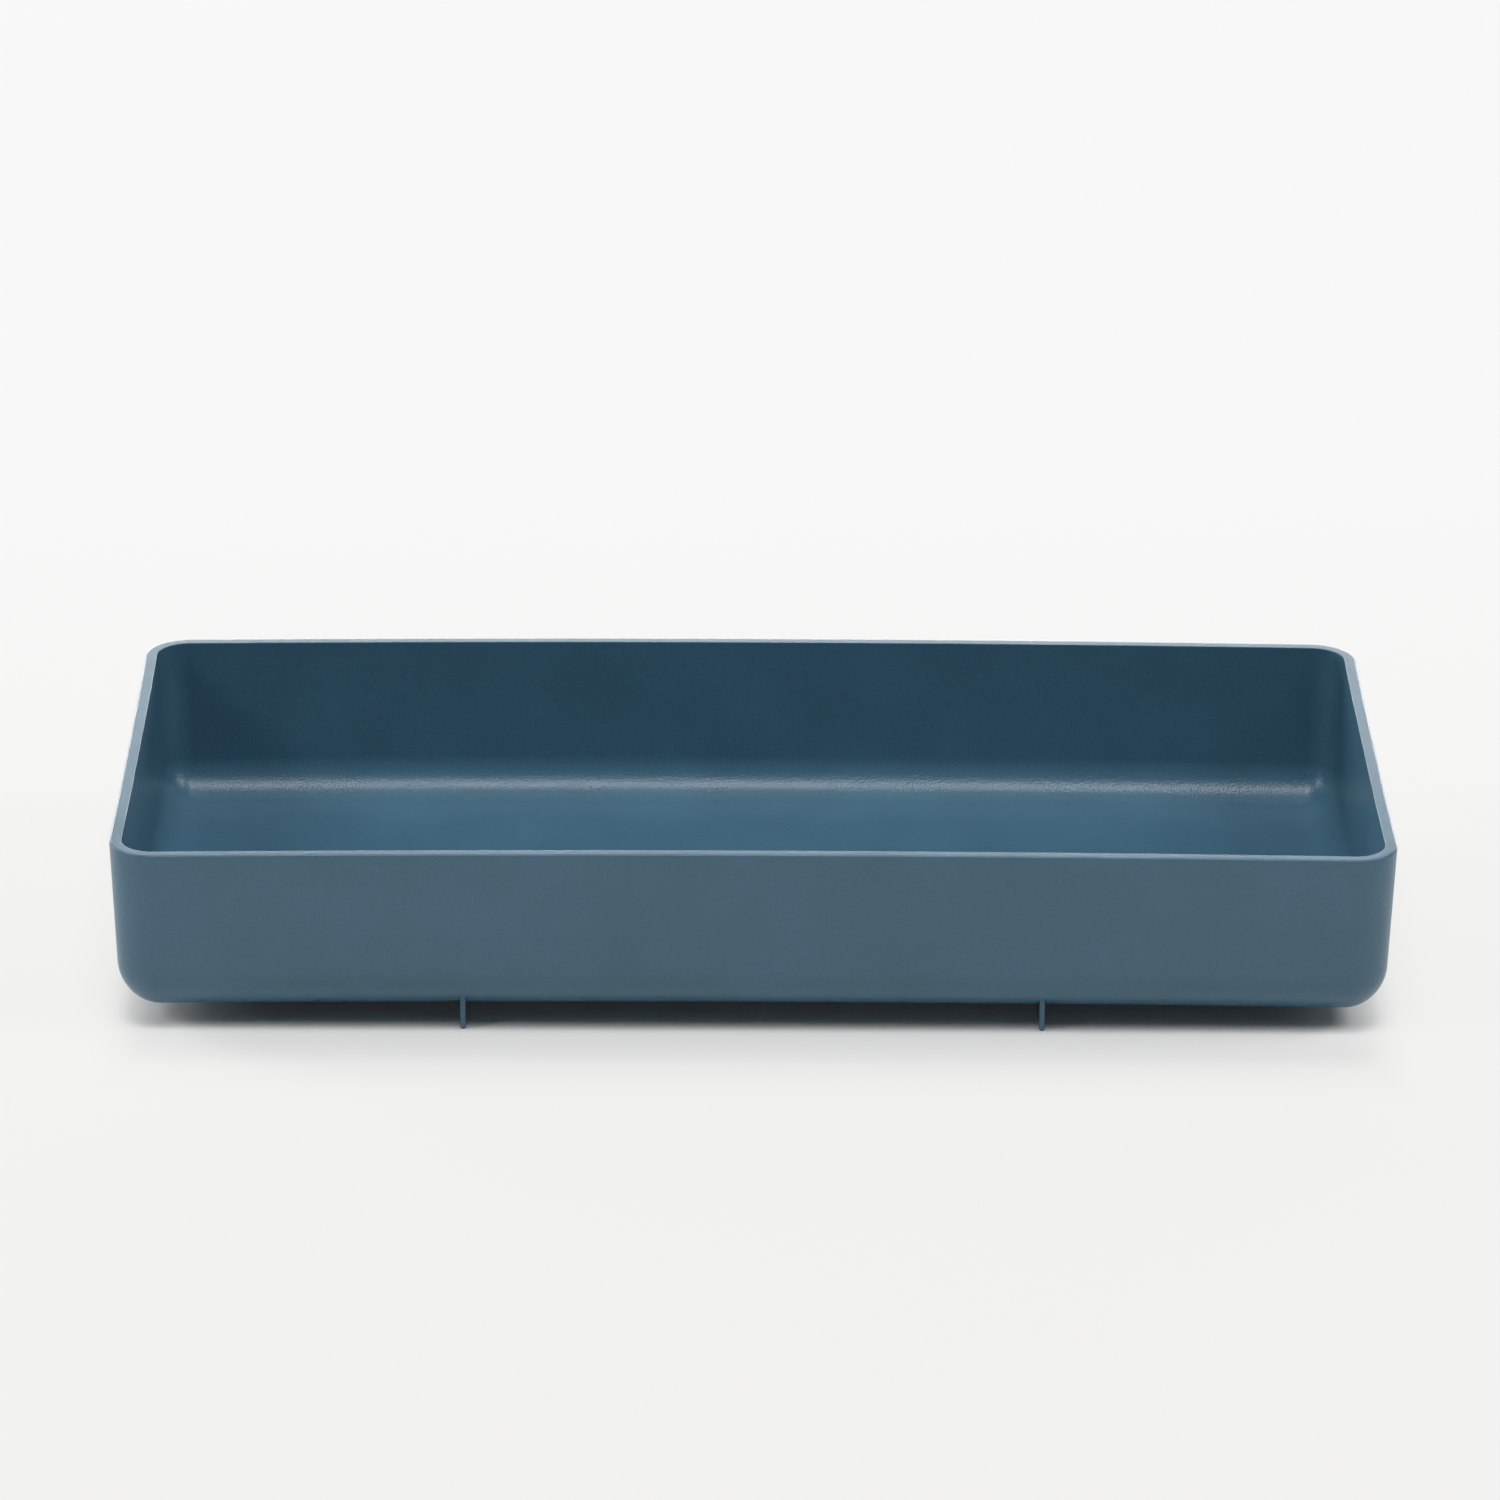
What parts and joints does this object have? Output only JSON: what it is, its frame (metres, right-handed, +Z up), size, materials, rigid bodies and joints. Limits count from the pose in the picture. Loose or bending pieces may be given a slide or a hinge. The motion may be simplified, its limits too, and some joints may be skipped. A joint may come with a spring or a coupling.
{
  "type": "storage tray",
  "caption": "Shallow rectangular moulded plastic tray with drafted walls, rounded corners and base edge, standing on thin runners.",
  "frame": {"origin": "centre of the bounding box's base, on the surface that the runners stand on", "axes": "+X along the tray's length towards the right runner, +Y from its front to its back, +Z up out of the tray"},
  "size_m": [0.32, 0.148, 0.0493],
  "materials": {
    "blue_grey_plastic": "matte"
  },
  "bodies": {
    "root": {"tray_shell": "blue_grey_plastic", "left_runner": "blue_grey_plastic", "right_runner": "blue_grey_plastic"}
  },
  "joints": []
}
